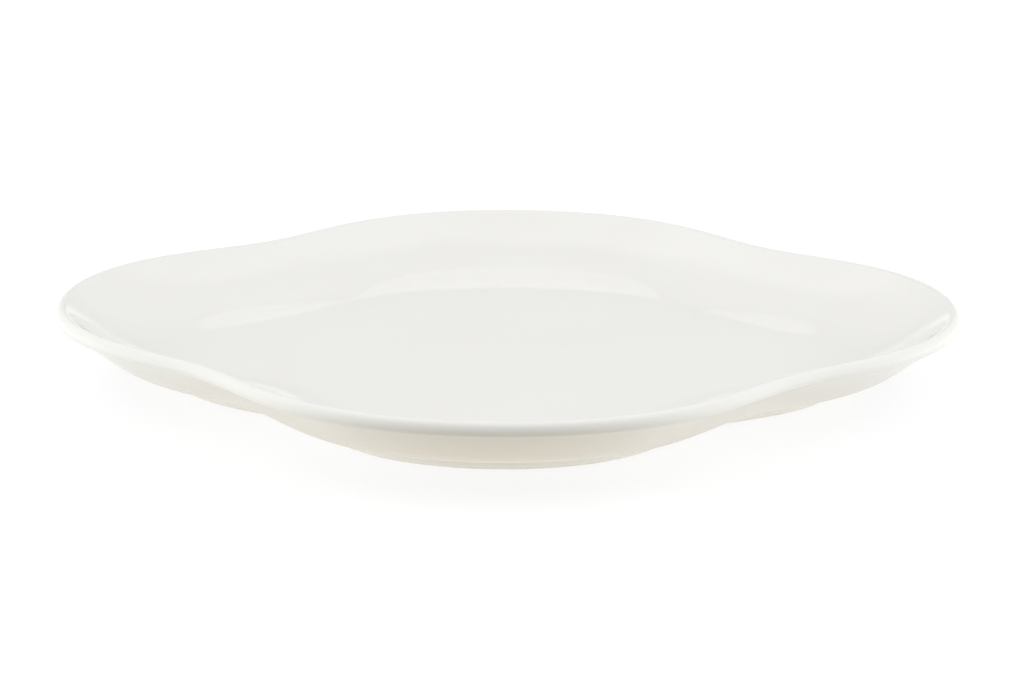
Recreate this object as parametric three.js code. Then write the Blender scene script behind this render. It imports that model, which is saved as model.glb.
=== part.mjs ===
import * as THREE from 'three';

// Four-lobed dinner plate of glazed porcelain, in millimetres, +Z up, standing on z = 0.
// The origin is under the middle of the foot ring. The lobes point along X and Y.

// Overall size
const WIDTH = 270; // across two opposite lobes
const HEIGHT = 22.9; // from the table to the top of the lip

// Lobed outline
const LOBES = 4;
const VALLEY_INSET = 19; // how far the outline draws in between two lobes
const VALLEY_SHARPNESS = 1.37; // near 0 an even wave, above it broad lobes and narrower valleys
const VALLEY_DROP = 0.6; // how much lower the lip runs in a valley
const ROUND_CENTRE = 50; // radius over which the rings turn from round to lobed

// Rim and lip
const LIP_THICKNESS = 4.4;
const LIP_SLOPE = 37; // degrees, steepness of the rim where it meets the lip
const LIP_WRAP = 30; // degrees, how far the rolled lip turns back under the rim
const LIP_COVE = 0.7; // hollow rounding where the rolled lip meets the underside
const FACE_FULLNESS = 0.44; // length of the face curve's end tangents, as a share of its chord
const UNDER_FULLNESS = 0.58; // the same for the curve of the underside

// Well
const FLOOR_RADIUS = 92.7; // flat floor, towards a lobe
const FLOOR_THICKNESS = 5.6;

// Foot ring and base
const FOOT_RADIUS = 100.8; // glazed outside of the ring, towards a lobe
const FOOT_HEIGHT = 2.5; // from the table to the corner under the rim
const FOOT_FACE = 3.2; // width of the flat contact face
const FOOT_EDGE = 0.8; // rounding on both sides of the contact face
const FOOT_COVE = 0.8; // hollow rounding where the ring meets the rim and the base
const UNDER_SLOPE = 14; // degrees, steepness of the underside at the foot ring
const BASE_RECESS = 3.5; // height of the base above the table, inside the ring

// Glaze
const GLAZE = 0.3;

// Finishes
const BARE_CLAY = { color: 0xe9e4d9, roughness: 0.7, metalness: 0 };
const CLEAR_GLAZE = { color: 0xeeede9, roughness: 0.08, metalness: 0 };

// Facets
const SEGMENTS_PER_LOBE = 18;
const RIM_STEPS = 6;
const LIP_STEPS = 6;
const ROUNDING_STEPS = 2;

const lipSlope = THREE.MathUtils.degToRad(LIP_SLOPE);
const lipWrap = THREE.MathUtils.degToRad(LIP_WRAP);
const underSlope = THREE.MathUtils.degToRad(UNDER_SLOPE);

const point = (radius, height) => new THREE.Vector2(radius, height);
const heading = (angle) => point(Math.cos(angle), Math.sin(angle));

// A rim curve runs from one point and slope to another, with end tangents in proportion to its length.
function rimCurve(start, startSlope, end, endSlope, fullness) {
  const reach = fullness * start.distanceTo(end);
  const startHandle = heading(startSlope).multiplyScalar(reach).add(start);
  const endHandle = heading(endSlope).multiplyScalar(-reach).add(end);
  return new THREE.CubicBezierCurve(start, startHandle, endHandle, end).getPoints(RIM_STEPS);
}

function rounding(start, corner, end) {
  return new THREE.QuadraticBezierCurve(start, corner, end).getPoints(ROUNDING_STEPS);
}

// Joins stretches of a section, each of which starts where the last one ends.
function join(...stretches) {
  return stretches.flatMap((stretch, index) => (index === 0 ? stretch : stretch.slice(1)));
}

// Moves a section sideways by a distance, to the right of its direction where that is positive.
function offset(section, distance) {
  return section.map((here, index) => {
    const last = section.length - 1;
    const before = section[Math.max(index - 1, 0)];
    const after = section[Math.min(index + 1, last)];
    const into = (index === 0 ? after.clone().sub(here) : here.clone().sub(before)).normalize();
    const out = (index === last ? here.clone().sub(before) : after.clone().sub(here)).normalize();
    const along = into.clone().add(out).normalize();
    const stretch = distance / along.dot(into);
    return point(here.x + along.y * stretch, here.y - along.x * stretch);
  });
}

// Share of a valley at an angle: 0 on the middle of a lobe, 1 on the middle of a valley.
function valleyShare(angle) {
  const wave = (1 - Math.cos(LOBES * angle)) / 2;
  return Math.expm1(VALLEY_SHARPNESS * wave) / Math.expm1(VALLEY_SHARPNESS);
}

// Revolves a closed section, then draws each ring in towards the axis in the valleys between the lobes.
function lobedRevolve(section) {
  const geometry = new THREE.LatheGeometry(section, LOBES * SEGMENTS_PER_LOBE);
  geometry.rotateX(Math.PI / 2);
  const position = geometry.attributes.position;
  for (let index = 0; index < position.count; index += 1) {
    const x = position.getX(index);
    const y = position.getY(index);
    const z = position.getZ(index);
    const radius = Math.hypot(x, y);
    const lobed = 1 - Math.exp(-((radius / ROUND_CENTRE) ** 2));
    const pressed = lobed * valleyShare(Math.atan2(y, x));
    const scale = radius > 0 ? 1 - (VALLEY_INSET * pressed) / radius : 1;
    const drop = VALLEY_DROP * pressed * (z / HEIGHT) ** 2;
    position.setXYZ(index, x * scale, y * scale, z - drop);
  }
  geometry.computeVertexNormals();
  return geometry;
}

// Turns every face over, for a section that was listed clockwise.
function turnFacesOver(geometry) {
  const index = geometry.index;
  for (let corner = 0; corner < index.count; corner += 3) {
    const second = index.getX(corner + 1);
    index.setX(corner + 1, index.getX(corner + 2));
    index.setX(corner + 2, second);
  }
  geometry.computeVertexNormals();
  return geometry;
}

// Glazed surface from the middle of the floor, over the lip and the underside, to the bare foot
function outerSection() {
  const floorHeight = BASE_RECESS + FLOOR_THICKNESS;
  const lipRadius = LIP_THICKNESS / 2;
  const lipCentre = point(WIDTH / 2 - lipRadius, HEIGHT - lipRadius);
  const lipStart = Math.PI / 2 + lipSlope;
  const lipEnd = lipSlope - Math.PI / 2 - lipWrap;
  const lip = new THREE.EllipseCurve(
    lipCentre.x, lipCentre.y, lipRadius, lipRadius, lipStart, lipEnd, true,
  ).getPoints(LIP_STEPS);

  const floorEdge = point(FLOOR_RADIUS, floorHeight);
  const face = rimCurve(floorEdge, 0, lip.at(0), lipSlope, FACE_FULLNESS);

  const lipLeg = Math.min(LIP_COVE, lipRadius / 2);
  const lipCorner = heading(lipEnd - Math.PI / 2).multiplyScalar(lipLeg).add(lip.at(-1));
  const underEnd = heading(lipSlope).multiplyScalar(-lipLeg).add(lipCorner);
  const lipCove = rounding(lip.at(-1), lipCorner, underEnd);

  const footLeg = Math.min(FOOT_COVE, (FOOT_HEIGHT - FOOT_EDGE) / 2);
  const footCorner = point(FOOT_RADIUS, FOOT_HEIGHT);
  const underStart = heading(underSlope).multiplyScalar(footLeg).add(footCorner);
  const under = rimCurve(underStart, underSlope, underEnd, lipSlope, UNDER_FULLNESS).reverse();
  const wallTop = point(FOOT_RADIUS, FOOT_HEIGHT - footLeg);
  const footCove = rounding(underStart, footCorner, wallTop);
  const footWall = [wallTop, point(FOOT_RADIUS, FOOT_EDGE)];

  return join([point(0, floorHeight), floorEdge], face, lip, lipCove, under, footCove, footWall);
}

// Glazed surface from the middle of the base to the bare foot
function baseSection() {
  const ringInside = FOOT_RADIUS - FOOT_FACE - 2 * FOOT_EDGE - 2 * GLAZE;
  const cove = Math.min(FOOT_COVE, (BASE_RECESS - FOOT_EDGE) / 2);
  const coveStart = point(ringInside - cove, BASE_RECESS);
  const coveEnd = point(ringInside, BASE_RECESS - cove);
  const cornerRounding = rounding(coveStart, point(ringInside, BASE_RECESS), coveEnd);
  return join([point(0, BASE_RECESS), coveStart], cornerRounding, [coveEnd, point(ringInside, FOOT_EDGE)]);
}

// Bare clay between the two glazed surfaces: rounded edge, flat contact face, rounded edge
function footSection(inside, outside) {
  const faceStart = point(inside.x + FOOT_EDGE, 0);
  const faceEnd = point(outside.x - FOOT_EDGE, 0);
  const innerEdge = rounding(inside, point(inside.x, 0), faceStart);
  const outerEdge = rounding(faceEnd, point(outside.x, 0), outside);
  return join(innerEdge, [faceStart, faceEnd], outerEdge);
}

const outerGlazed = outerSection();
const baseGlazed = baseSection();
const outerClay = offset(outerGlazed, GLAZE);
const baseClay = offset(baseGlazed, -GLAZE);
const foot = footSection(baseClay.at(-1), outerClay.at(-1));
const outerClayUp = outerClay.toReversed();

function mesh(name, geometry, finish) {
  const result = new THREE.Mesh(geometry, new THREE.MeshStandardMaterial(finish));
  result.name = name;
  return result;
}

// Pressed and fired clay body, bare only at the foot
function porcelainBody() {
  const section = join(baseClay, foot, outerClayUp);
  return mesh('porcelain_body', lobedRevolve(section), BARE_CLAY);
}

// Glass coat fused on the face, the lip and the underside, bonded to the clay all over its inner side
function outerGlaze() {
  const section = [...outerGlazed, ...outerClayUp];
  return mesh('outer_glaze', turnFacesOver(lobedRevolve(section)), CLEAR_GLAZE);
}

// Glass coat fused on the base inside the foot ring
function baseGlaze() {
  const section = [...baseClay, ...baseGlazed.toReversed()];
  return mesh('base_glaze', turnFacesOver(lobedRevolve(section)), CLEAR_GLAZE);
}

const plate = new THREE.Group();
plate.add(porcelainBody(), outerGlaze(), baseGlaze());

export default plate;
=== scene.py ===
"""Four-lobed porcelain dinner plate: warm white gloss glaze over pressed clay, on a bare foot ring."""
import math

import bpy
import numpy as np
from mathutils import Matrix, Vector


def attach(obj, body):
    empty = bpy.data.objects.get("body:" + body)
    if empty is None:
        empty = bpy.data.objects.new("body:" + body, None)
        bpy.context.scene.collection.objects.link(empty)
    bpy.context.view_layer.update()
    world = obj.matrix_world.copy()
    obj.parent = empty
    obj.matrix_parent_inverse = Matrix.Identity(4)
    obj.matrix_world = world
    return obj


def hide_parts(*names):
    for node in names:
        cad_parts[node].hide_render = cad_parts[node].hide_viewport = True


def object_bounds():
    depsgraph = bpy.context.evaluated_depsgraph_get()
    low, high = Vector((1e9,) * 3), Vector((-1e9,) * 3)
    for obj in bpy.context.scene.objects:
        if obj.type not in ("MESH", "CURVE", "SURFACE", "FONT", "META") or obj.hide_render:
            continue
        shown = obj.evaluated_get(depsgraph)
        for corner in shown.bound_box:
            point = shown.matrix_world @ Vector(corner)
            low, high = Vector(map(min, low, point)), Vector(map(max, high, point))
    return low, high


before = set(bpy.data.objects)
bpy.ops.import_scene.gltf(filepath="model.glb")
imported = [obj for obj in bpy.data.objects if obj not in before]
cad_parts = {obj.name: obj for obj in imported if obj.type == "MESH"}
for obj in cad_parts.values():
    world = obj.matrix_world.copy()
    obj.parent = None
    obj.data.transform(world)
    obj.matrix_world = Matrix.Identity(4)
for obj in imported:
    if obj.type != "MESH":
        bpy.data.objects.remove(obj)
cad_low, cad_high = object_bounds()
scene = bpy.context.scene
MM = 0.001
QUARTER_TURN = math.pi / 2
FULL_TURN = 2 * math.pi

# Sizes of the plate towards the middle of a lobe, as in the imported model
HALF_WIDTH = cad_high.x
HEIGHT = cad_high.z
LOBES = 4
VALLEY_INSET = 19 * MM
VALLEY_SHARPNESS = 1.37
VALLEY_DROP = 0.6 * MM
ROUND_CENTRE = 50 * MM
LIP_RADIUS = 2.2 * MM
LIP_SLOPE = math.radians(37)
LIP_WRAP = math.radians(30)
LIP_COVE = 0.7 * MM
FACE_FULLNESS = 0.44
UNDER_FULLNESS = 0.58
FLOOR_RADIUS = 92.7 * MM
FLOOR_HEIGHT = 9.1 * MM
FOOT_RADIUS = 100.8 * MM
FOOT_HEIGHT = 2.5 * MM
FOOT_FACE = 3.2 * MM
FOOT_EDGE = 0.8 * MM
FOOT_COVE = 0.8 * MM
UNDER_SLOPE = math.radians(14)
BASE_RECESS = 3.5 * MM
GLAZE = 0.3 * MM

# Fineness of the surfaces: steps along a section, and round a lobe
FINE = {"floor": 6, "rim": 36, "lip": 32, "rounding": 6}
HIDDEN = {"floor": 1, "rim": 10, "lip": 8, "rounding": 2}
SEGMENTS_PER_LOBE = 60
BEAD_STEPS = 4

# Tones of each surface: glaze from thin to thick, clay from dark to light
OUTER_GLAZE_TONES = ((0.862, 0.856, 0.826), (0.875, 0.871, 0.845))
BASE_GLAZE_TONES = ((0.855, 0.847, 0.812), (0.868, 0.862, 0.832))
CLAY_TONES = ((0.78, 0.75, 0.69), (0.86, 0.84, 0.79))
REFRACTION = 1.5

# Studio, in metres and shares of white

# Dome: brightness overhead and to both sides, and the sine of the height from which each is full
WHITE = (1, 1, 1)
DOME_EVEN, DOME_SIDEWAYS = 0.664, 1.19
EVEN_EDGE, SIDEWAYS_EDGE = math.sin(math.radians(54)), math.sin(math.radians(15))

# Light table: its cloth, and its light as the camera sees it
TABLE_REACH = 3
TABLE_BELOW = 0.02 * MM
CLOTH_COLOUR = (0.3, 0.28, 0.24)
TABLE_SEEN = (0.72, 0.74, 0.78)

# Light of the table in reflections, with painted shadow that makes it darker close round the plate, and its
# glow before and beside the plate: distance from the axis, colour
PAINTED_SHADOW_GREY, MID_GREY, PALE_GREY = (0.55, 0.55, 0.55), (0.7, 0.7, 0.7), (0.82, 0.82, 0.82)
# Grey of the table in reflections: painted shadow, darkest next to the foot and paler further out
REFLECTED_TABLE_PAINTED_SHADE = ((0.101, PAINTED_SHADOW_GREY), (0.109, MID_GREY), (0.18, MID_GREY), (0.26, PALE_GREY))
GLOW_UNDER = (0.79, 0.78, 0.75)
GLOW_IN_SHADE, WARM_GLOW = (0.38, 0.37, 0.36), (0.59, 0.55, 0.48)
COOL_GLOW, FAINT_GLOW, NO_GLOW = (0.8, 0.88, 0.93), (0.15, 0.17, 0.1), (0.02, 0.01, 0)
GLOW_BEFORE = ((0.103, GLOW_UNDER), (0.114, WARM_GLOW), (0.14, WARM_GLOW), (0.155, NO_GLOW))
GLOW_BESIDE = (
    (0.103, GLOW_UNDER),
    (0.116, GLOW_IN_SHADE),
    (0.155, COOL_GLOW),
    (0.24, COOL_GLOW),
    (0.28, FAINT_GLOW),
)
BEFORE_TO_BESIDE = (0.02, 0.12)

# Ring of card: heights over which it turns grey, darker and white again, and depth at which it is greyest
CARD_RADIUS, CARD_TOP, CARD_SEGMENTS = 0.95, 3, 64
CARD_FOOT, CARD_MIDDLE, CARD_HEAD = (0.08, 0.2), (0.27, 1.15), (1.3, CARD_TOP)
CARD_FOOT_GREY, CARD_MIDDLE_GREY = 0.4, 0.28
CARD_BEHIND = (0.86 * CARD_RADIUS, 0.97 * CARD_RADIUS)
CARD_SHARE_ELSEWHERE = 0.3

# Softboxes: side, stretch from front to back, stretch of height and brightness
LEFT, RIGHT = -1, 1
BEFORE, BESIDE = (-1.1, -0.3), (-0.3, 0.6)
LOW, HIGH = (0.02, 0.45), (0.45, 1.1)
SOFTBOXES = {
    "left_low": (LEFT, BESIDE, LOW, 1.05),
    "left_low_front": (LEFT, BEFORE, LOW, 1.25),
    "left_high": (LEFT, BESIDE, HIGH, 0.82),
    "left_high_front": (LEFT, BEFORE, HIGH, 0.6),
    "right_low": (RIGHT, BESIDE, LOW, 1.15),
    "right_low_front": (RIGHT, BEFORE, LOW, 0.75),
    "right_high": (RIGHT, BESIDE, HIGH, 0.87),
    "right_high_front": (RIGHT, BEFORE, HIGH, 0.3),
}

# Camera of the photograph, found from the plate's outline in it
CAMERA_AZIMUTH, CAMERA_ELEVATION, CAMERA_ROLL = (math.radians(angle) for angle in (1.916, 14.323, 0.331))
CAMERA_DISTANCE = 0.82806
CAMERA_TARGET = Vector((0, 0, 10.225 * MM))
SENSOR_WIDTH, LENS, SHIFT_X = 36, 97.147, 0.00205


# Sections, as rows of radius and height

def heading(angle):
    return np.array([math.cos(angle), math.sin(angle)])


def bezier(controls, steps):
    share = np.linspace(0, 1, steps + 1)[:, None]
    points = [np.tile(control, (steps + 1, 1)) for control in controls]
    while len(points) > 1:
        points = [near + (far - near) * share for near, far in zip(points, points[1:])]
    return points[0]


def rim_curve(start, start_slope, end, end_slope, fullness, steps):
    reach = fullness * np.linalg.norm(end - start)
    start_handle = start + reach * heading(start_slope)
    end_handle = end - reach * heading(end_slope)
    return bezier([start, start_handle, end_handle, end], steps)


def arc(centre, radius, start, end, steps):
    return np.array([centre + radius * heading(angle) for angle in np.linspace(start, end, steps + 1)])


def line(start, end, steps):
    return bezier([start, end], steps)


def join(*stretches):
    return np.vstack([stretches[0]] + [stretch[1:] for stretch in stretches[1:]])


def offset(section, distance):
    """The section moved sideways, to the right of its direction where the distance is positive."""
    steps = np.diff(section, axis=0)
    steps /= np.linalg.norm(steps, axis=1)[:, None]
    into = np.vstack([steps[:1], steps])
    out = np.vstack([steps, steps[-1:]])
    along = into + out
    along /= np.linalg.norm(along, axis=1)[:, None]
    stretch = distance / (along * into).sum(axis=1)
    return section + np.column_stack([along[:, 1], -along[:, 0]]) * stretch[:, None]


def outer_section(detail):
    """Glazed surface from the middle of the floor, over the lip and the underside, to the bare foot."""
    lip_centre = np.array([HALF_WIDTH - LIP_RADIUS, HEIGHT - LIP_RADIUS])
    lip_end = LIP_SLOPE - QUARTER_TURN - LIP_WRAP
    lip = arc(lip_centre, LIP_RADIUS, LIP_SLOPE + QUARTER_TURN, lip_end, detail["lip"])
    floor_edge = np.array([FLOOR_RADIUS, FLOOR_HEIGHT])
    floor = line(np.array([0, FLOOR_HEIGHT]), floor_edge, detail["floor"])
    face = rim_curve(floor_edge, 0, lip[0], LIP_SLOPE, FACE_FULLNESS, detail["rim"])
    lip_corner = lip[-1] + LIP_COVE * heading(lip_end - QUARTER_TURN)
    under_end = lip_corner - LIP_COVE * heading(LIP_SLOPE)
    lip_cove = bezier([lip[-1], lip_corner, under_end], detail["rounding"])
    foot_corner = np.array([FOOT_RADIUS, FOOT_HEIGHT])
    under_start = foot_corner + FOOT_COVE * heading(UNDER_SLOPE)
    under = rim_curve(under_start, UNDER_SLOPE, under_end, LIP_SLOPE, UNDER_FULLNESS, detail["rim"])[::-1]
    wall_top = foot_corner - [0, FOOT_COVE]
    foot_cove = bezier([under_start, foot_corner, wall_top], detail["rounding"])
    wall = line(wall_top, np.array([FOOT_RADIUS, FOOT_EDGE]), 1)
    return join(floor, face, lip, lip_cove, under, foot_cove, wall)


def base_section(detail):
    """Glazed surface from the middle of the base to the bare foot."""
    ring_inside = FOOT_RADIUS - FOOT_FACE - 2 * FOOT_EDGE - 2 * GLAZE
    corner = np.array([ring_inside, BASE_RECESS])
    cove_start = corner - [FOOT_COVE, 0]
    cove_end = corner - [0, FOOT_COVE]
    base = line(np.array([0, BASE_RECESS]), cove_start, detail["floor"])
    cove = bezier([cove_start, corner, cove_end], detail["rounding"])
    return join(base, cove, line(cove_end, np.array([ring_inside, FOOT_EDGE]), 1))


def foot_section(inside, outside):
    """Bare clay between the two glazed surfaces: rounded edge, flat contact face, rounded edge."""
    face_start = np.array([inside[0] + FOOT_EDGE, 0])
    face_end = np.array([outside[0] - FOOT_EDGE, 0])
    inner_edge = bezier([inside, np.array([inside[0], 0]), face_start], FINE["rounding"])
    outer_edge = bezier([face_end, np.array([outside[0], 0]), outside], FINE["rounding"])
    return join(inner_edge, line(face_start, face_end, 2), outer_edge)


def glaze_bead(start, end, turn):
    """Rounded lower edge of a glaze, from its outer side to its clay side."""
    centre = (start + end) / 2
    first = 0 if start[0] > end[0] else math.pi
    return arc(centre, GLAZE / 2, first, first + turn, BEAD_STEPS)


# Meshes

def valley_share(angle):
    """0 on the middle of a lobe, 1 on the middle of a valley."""
    wave = (1 - np.cos(LOBES * angle)) / 2
    return np.expm1(VALLEY_SHARPNESS * wave) / math.expm1(VALLEY_SHARPNESS)


def lobed_rings(section, angles):
    """Points of a revolved section, drawn in towards the axis in the valleys between the lobes."""
    radius, height = section[:, 0], section[:, 1]
    pressed = (1 - np.exp(-(radius / ROUND_CENTRE) ** 2)) * valley_share(angles)[:, None]
    ring_radius = radius - VALLEY_INSET * pressed
    ring_height = height - VALLEY_DROP * pressed * (height / HEIGHT) ** 2
    return np.stack([
        ring_radius * np.cos(angles)[:, None],
        ring_radius * np.sin(angles)[:, None],
        ring_height,
    ], axis=-1)


def lobed_mesh(name, section, clockwise):
    """A closed mesh from a section that starts and ends on the axis."""
    count = LOBES * SEGMENTS_PER_LOBE
    angles = np.linspace(0, FULL_TURN, count, endpoint=False)
    rings = lobed_rings(section[1:-1], angles)
    per_angle = rings.shape[1]
    points = [(0, 0, section[0, 1]), (0, 0, section[-1, 1]), *map(tuple, rings.reshape(-1, 3))]
    faces = []
    for segment in range(count):
        here = 2 + segment * per_angle
        there = 2 + (segment + 1) % count * per_angle
        faces.append((0, there, here))
        for step in range(per_angle - 1):
            faces.append((here + step, there + step, there + step + 1, here + step + 1))
        faces.append((1, here + per_angle - 1, there + per_angle - 1))
    if clockwise:
        faces = [face[::-1] for face in faces]
    mesh = bpy.data.meshes.new(name)
    mesh.from_pydata(points, [], faces)
    mesh.polygons.foreach_set("use_smooth", [True] * len(mesh.polygons))
    mesh.update()
    return mesh


def place(name, section, clockwise, material, node):
    piece = bpy.data.objects.new(name, lobed_mesh(name, section, clockwise))
    scene.collection.objects.link(piece)
    piece.data.materials.append(material)
    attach(piece, "root")
    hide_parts(node)


# Shader nodes

def new_material(name):
    material = bpy.data.materials.new(name)
    material.use_nodes = True
    material.node_tree.nodes.clear()
    return material, material.node_tree


def add(tree, kind, **settings):
    node = tree.nodes.new(kind)
    for name, value in settings.items():
        setattr(node, name, value)
    return node


def feed(tree, socket, source):
    """Links a socket to another one, or sets it to a value."""
    if isinstance(source, bpy.types.NodeSocket):
        tree.links.new(source, socket)
    else:
        socket.default_value = source


def object_place(tree):
    return add(tree, "ShaderNodeTexCoord").outputs["Object"]


def split(tree, vector):
    node = add(tree, "ShaderNodeSeparateXYZ")
    feed(tree, node.inputs["Vector"], vector)
    return node.outputs


def calculate(tree, operation, *values):
    node = add(tree, "ShaderNodeMath", operation=operation)
    for socket, value in zip(node.inputs, values):
        feed(tree, socket, value)
    return node.outputs["Value"]


def map_range(tree, value, from_range, to_range, smooth=False):
    node = add(tree, "ShaderNodeMapRange", interpolation_type="SMOOTHSTEP" if smooth else "LINEAR")
    names = ("Value", "From Min", "From Max", "To Min", "To Max")
    for name, source in zip(names, (value, *from_range, *to_range)):
        feed(tree, node.inputs[name], source)
    return node.outputs["Result"]


def colour_ramp(tree, factor, stops):
    """Colours along a factor, from stops of a place and a colour."""
    node = add(tree, "ShaderNodeValToRGB")
    elements = node.color_ramp.elements
    while len(elements) < len(stops):
        elements.new(1)
    for element, (place_at, colour) in zip(elements, stops):
        element.position = place_at
        element.color = (*colour, 1)
    feed(tree, node.inputs["Fac"], factor)
    return node.outputs["Color"]


def mix_colours(tree, factor, first, second):
    node = add(tree, "ShaderNodeMix", data_type="RGBA")
    feed(tree, node.inputs["Factor"], factor)
    for name, source in (("A", first), ("B", second)):
        socket = next(each for each in node.inputs if each.name == name and each.enabled)
        feed(tree, socket, source)
    return next(each for each in node.outputs if each.enabled)


def noise(tree, coordinates, scale, detail):
    node = add(tree, "ShaderNodeTexNoise")
    for name, source in (("Vector", coordinates), ("Scale", scale), ("Detail", detail)):
        feed(tree, node.inputs[name], source)
    return node.outputs["Fac"]


def bump(tree, height, depth, under=None):
    node = add(tree, "ShaderNodeBump")
    for name, source in (("Strength", 1), ("Distance", depth), ("Height", height)):
        feed(tree, node.inputs[name], source)
    if under:
        feed(tree, node.inputs["Normal"], under)
    return node.outputs["Normal"]


def show(tree, shader, output="ShaderNodeOutputMaterial"):
    feed(tree, add(tree, output).inputs["Surface"], shader)


# Materials of the plate

def tone(tree, factor, tones):
    """Two tones, blended over the middle of a noise."""
    return colour_ramp(tree, factor, tuple(zip((0.3, 0.7), tones)))


def spread(tree, factor, low, high):
    """The middle half of a noise, spread over a range."""
    return map_range(tree, factor, (0.25, 0.75), (low, high))


def finish_surface(tree, colour, roughness, normal):
    surface = add(tree, "ShaderNodeBsdfPrincipled")
    sources = {"Base Color": colour, "Roughness": roughness, "Normal": normal, "IOR": REFRACTION}
    for name, source in sources.items():
        feed(tree, surface.inputs[name], source)
    show(tree, surface.outputs["BSDF"])


def glazed(name, tones):
    """Gloss glaze: slow drifts of tone where it is thin or thick, and the faint ripple of melted glass."""
    material, tree = new_material(name)
    here = object_place(tree)
    colour = tone(tree, noise(tree, here, scale=22, detail=4), tones)
    roughness = spread(tree, noise(tree, here, scale=140, detail=3), low=0.015, high=0.035)
    ripple = bump(tree, noise(tree, here, scale=55, detail=1), depth=0.012 * MM)
    normal = bump(tree, noise(tree, here, scale=420, detail=1), depth=0.0008 * MM, under=ripple)
    finish_surface(tree, colour, roughness, normal)
    return material


def bare_clay(name):
    """Fired clay without glaze: blotches of lighter and darker tone, and a fine grain."""
    material, tree = new_material(name)
    here = object_place(tree)
    colour = tone(tree, noise(tree, here, scale=95, detail=6), CLAY_TONES)
    roughness = spread(tree, noise(tree, here, scale=300, detail=3), low=0.6, high=0.85)
    normal = bump(tree, noise(tree, here, scale=2600, detail=3), depth=0.05 * MM)
    finish_surface(tree, colour, roughness, normal)
    return material


def build_plate():
    outer = outer_section(FINE)
    outer_clay = offset(outer_section(HIDDEN), GLAZE)[::-1]
    base = base_section(FINE)
    base_clay = offset(base_section(HIDDEN), -GLAZE)
    foot = foot_section(base_clay[-1], outer_clay[0])
    outer_skin = join(outer, glaze_bead(outer[-1], outer_clay[0], -math.pi), outer_clay)
    base_skin = join(base, glaze_bead(base[-1], base_clay[-1], math.pi), base_clay[::-1])
    body = join(base_clay, foot, outer_clay)

    outer_glaze = glazed("outer_glaze", OUTER_GLAZE_TONES)
    base_glaze = glazed("base_glaze", BASE_GLAZE_TONES)
    clay = bare_clay("bare_clay")
    place("outer_glaze_skin", outer_skin, True, outer_glaze, "outer_glaze")
    place("base_glaze_skin", base_skin, False, base_glaze, "base_glaze")
    place("clay_body", body, False, clay, "porcelain_body")


# Studio

def seen_directly(tree):
    """1 for rays that show the background: straight from the camera, by reflection or through glass."""
    path = add(tree, "ShaderNodeLightPath").outputs
    indirect = calculate(tree, "ADD", path["Is Glossy Ray"], path["Is Transmission Ray"])
    return calculate(tree, "MINIMUM", 1, calculate(tree, "ADD", path["Is Camera Ray"], indirect))


def dome_brightness(tree):
    """Even from overhead and stronger from both sides, fading out at the horizon."""
    direction = split(tree, add(tree, "ShaderNodeTexCoord").outputs["Generated"])
    height_squared = calculate(tree, "MULTIPLY", direction["Z"], direction["Z"])
    reach = calculate(tree, "SQRT", calculate(tree, "SUBTRACT", 1, height_squared))
    side_squared = calculate(tree, "MULTIPLY", direction["X"], direction["X"])
    sideways = calculate(tree, "DIVIDE", side_squared, reach)
    even = map_range(tree, direction["Z"], (0, EVEN_EDGE), (0, DOME_EVEN))
    raised = map_range(tree, direction["Z"], (0, SIDEWAYS_EDGE), (0, DOME_SIDEWAYS))
    return calculate(tree, "MULTIPLY_ADD", sideways, raised, even)


def white_world():
    """White where it is seen, and a soft dome where it lights."""
    world = bpy.data.worlds.new("studio")
    scene.world = world
    world.use_nodes = True
    tree = world.node_tree
    tree.nodes.clear()
    dome, white = (add(tree, "ShaderNodeBackground") for _ in range(2))
    for light, brightness in ((dome, dome_brightness(tree)), (white, 1)):
        feed(tree, light.inputs["Color"], (*WHITE, 1))
        feed(tree, light.inputs["Strength"], brightness)
    choice = add(tree, "ShaderNodeMixShader")
    sources = (seen_directly(tree), dome.outputs["Background"], white.outputs["Background"])
    for socket, source in zip(choice.inputs, sources):
        feed(tree, socket, source)
    show(tree, choice.outputs["Shader"], "ShaderNodeOutputWorld")


def stage_mesh(name, corners, faces, material):
    mesh = bpy.data.meshes.new(name)
    mesh.from_pydata(corners, [], faces)
    mesh.materials.append(material)
    obj = bpy.data.objects.new(name, mesh)
    scene.collection.objects.link(obj)
    return obj


def table_light(tree):
    """Colour of the table's own light: glow on the plate, or what reflections or the camera show of it, with
    a painted shadow in reflections close round the plate.
    """
    here = object_place(tree)
    away = add(tree, "ShaderNodeVectorMath", operation="LENGTH")
    feed(tree, away.inputs[0], here)
    before, beside, mirrored_painted_shade = (
        colour_ramp(tree, away.outputs["Value"], stops)
        for stops in (GLOW_BEFORE, GLOW_BESIDE, REFLECTED_TABLE_PAINTED_SHADE)
    )
    sideways = calculate(tree, "ABSOLUTE", split(tree, here)["X"])
    glow = mix_colours(tree, map_range(tree, sideways, BEFORE_TO_BESIDE, (0, 1), True), before, beside)
    # Reflections show the table with a painted shadow, darker close round the plate
    reflected = mix_colours(tree, seen_directly(tree), glow, mirrored_painted_shade)
    in_view = add(tree, "ShaderNodeLightPath").outputs["Is Camera Ray"]
    return mix_colours(tree, in_view, reflected, (*TABLE_SEEN, 1))


def table_top():
    """Light table that glows up at the plate, shows as white and takes a faint shadow."""
    material, tree = new_material("table")
    cloth = add(tree, "ShaderNodeBsdfDiffuse")
    feed(tree, cloth.inputs["Color"], (*CLOTH_COLOUR, 1))
    light = add(tree, "ShaderNodeEmission")
    feed(tree, light.inputs["Color"], table_light(tree))
    both = add(tree, "ShaderNodeAddShader")
    for socket, source in zip(both.inputs, (cloth.outputs["BSDF"], light.outputs["Emission"])):
        feed(tree, socket, source)
    show(tree, both.outputs["Shader"])
    square = ((-1, -1), (1, -1), (1, 1), (-1, 1))
    corners = [(x * TABLE_REACH, y * TABLE_REACH, -TABLE_BELOW) for x, y in square]
    stage_mesh("table", corners, [(0, 1, 2, 3)], material)


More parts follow.
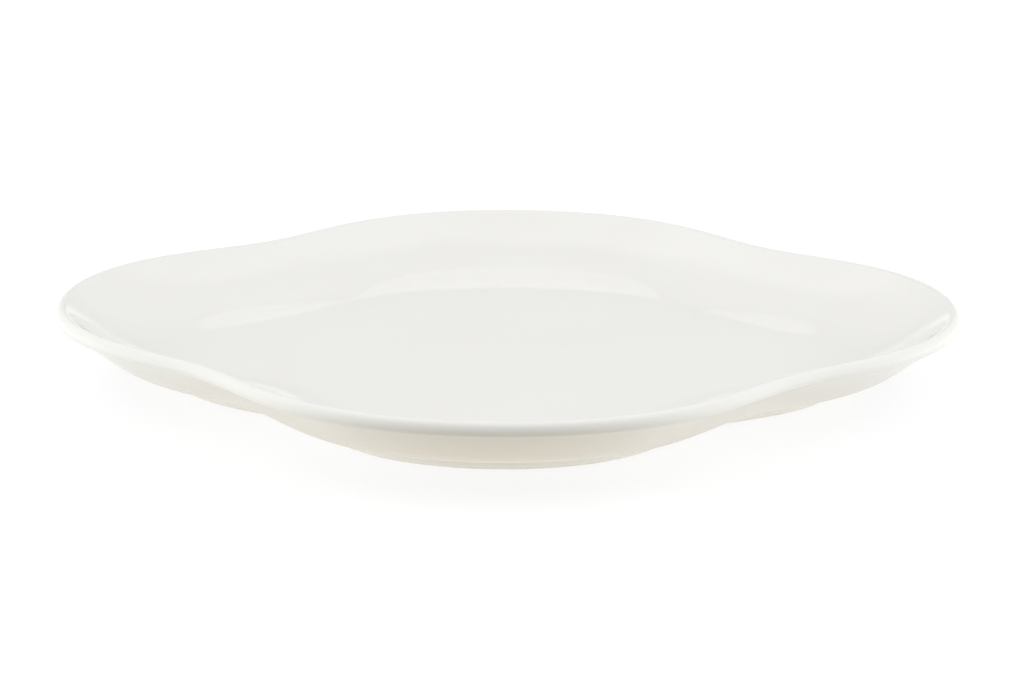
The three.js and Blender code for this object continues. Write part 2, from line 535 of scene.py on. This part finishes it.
def card_material():
    """White at the table, grey higher up and white again at the top, and darkest behind the plate."""
    material, tree = new_material("card_ring")
    place_on = split(tree, object_place(tree))
    foot = map_range(tree, place_on["Z"], CARD_FOOT, (0, CARD_FOOT_GREY), True)
    middle = map_range(tree, place_on["Z"], CARD_MIDDLE, (0, CARD_MIDDLE_GREY), True)
    head = map_range(tree, place_on["Z"], CARD_HEAD, (0, CARD_FOOT_GREY + CARD_MIDDLE_GREY), True)
    darkness = calculate(tree, "SUBTRACT", calculate(tree, "ADD", foot, middle), head)
    behind = map_range(tree, place_on["Y"], CARD_BEHIND, (CARD_SHARE_ELSEWHERE, 1), True)
    light = add(tree, "ShaderNodeEmission")
    brightness = calculate(tree, "SUBTRACT", 1, calculate(tree, "MULTIPLY", darkness, behind))
    feed(tree, light.inputs["Strength"], brightness)
    show(tree, light.outputs["Emission"])
    return material


def card_ring():
    """Ring of card round the plate, which shows in its reflections only."""
    corners, faces = [], []
    for step in range(CARD_SEGMENTS):
        x, y = CARD_RADIUS * heading(step * FULL_TURN / CARD_SEGMENTS)
        corners += [(x, y, 0), (x, y, CARD_TOP)]
        low, after = 2 * step, 2 * ((step + 1) % CARD_SEGMENTS)
        faces.append((low, after, after + 1, low + 1))
    ring = stage_mesh("card_ring", corners, faces, card_material())
    ring.visible_camera = False
    ring.visible_diffuse = False
    ring.visible_shadow = False


def softbox(name, x, y_range, z_range, brightness):
    """Upright area lamp that faces the plate, whose surface has the given brightness."""
    lamp = bpy.data.lights.new(name, "AREA")
    lamp.shape = "RECTANGLE"
    lamp.size = y_range[1] - y_range[0]
    lamp.size_y = z_range[1] - z_range[0]
    lamp.energy = math.pi * lamp.size * lamp.size_y * brightness
    obj = bpy.data.objects.new(name, lamp)
    obj.location = (x, sum(y_range) / 2, sum(z_range) / 2)
    obj.rotation_euler = Vector((-x, 0, 0)).to_track_quat("-Z", "Y").to_euler()
    obj.visible_glossy = False
    scene.collection.objects.link(obj)


def light_studio():
    white_world()
    table_top()
    card_ring()
    for name, (x, y_range, z_range, brightness) in SOFTBOXES.items():
        softbox(name, x, y_range, z_range, brightness)


def place_camera():
    away = Vector((
        math.sin(CAMERA_AZIMUTH) * math.cos(CAMERA_ELEVATION),
        -math.cos(CAMERA_AZIMUTH) * math.cos(CAMERA_ELEVATION),
        math.sin(CAMERA_ELEVATION),
    ))
    camera = bpy.data.cameras.new("camera")
    camera.sensor_width = SENSOR_WIDTH
    camera.lens = LENS
    camera.shift_x = SHIFT_X
    obj = bpy.data.objects.new("camera", camera)
    turn = (-away).to_track_quat("-Z", "Y").to_matrix().to_4x4()
    move = Matrix.Translation(CAMERA_TARGET + away * CAMERA_DISTANCE)
    obj.matrix_world = move @ turn @ Matrix.Rotation(CAMERA_ROLL, 4, "Z")
    scene.collection.objects.link(obj)
    scene.camera = obj


build_plate()
light_studio()
place_camera()
scene.view_settings.view_transform = "Standard"
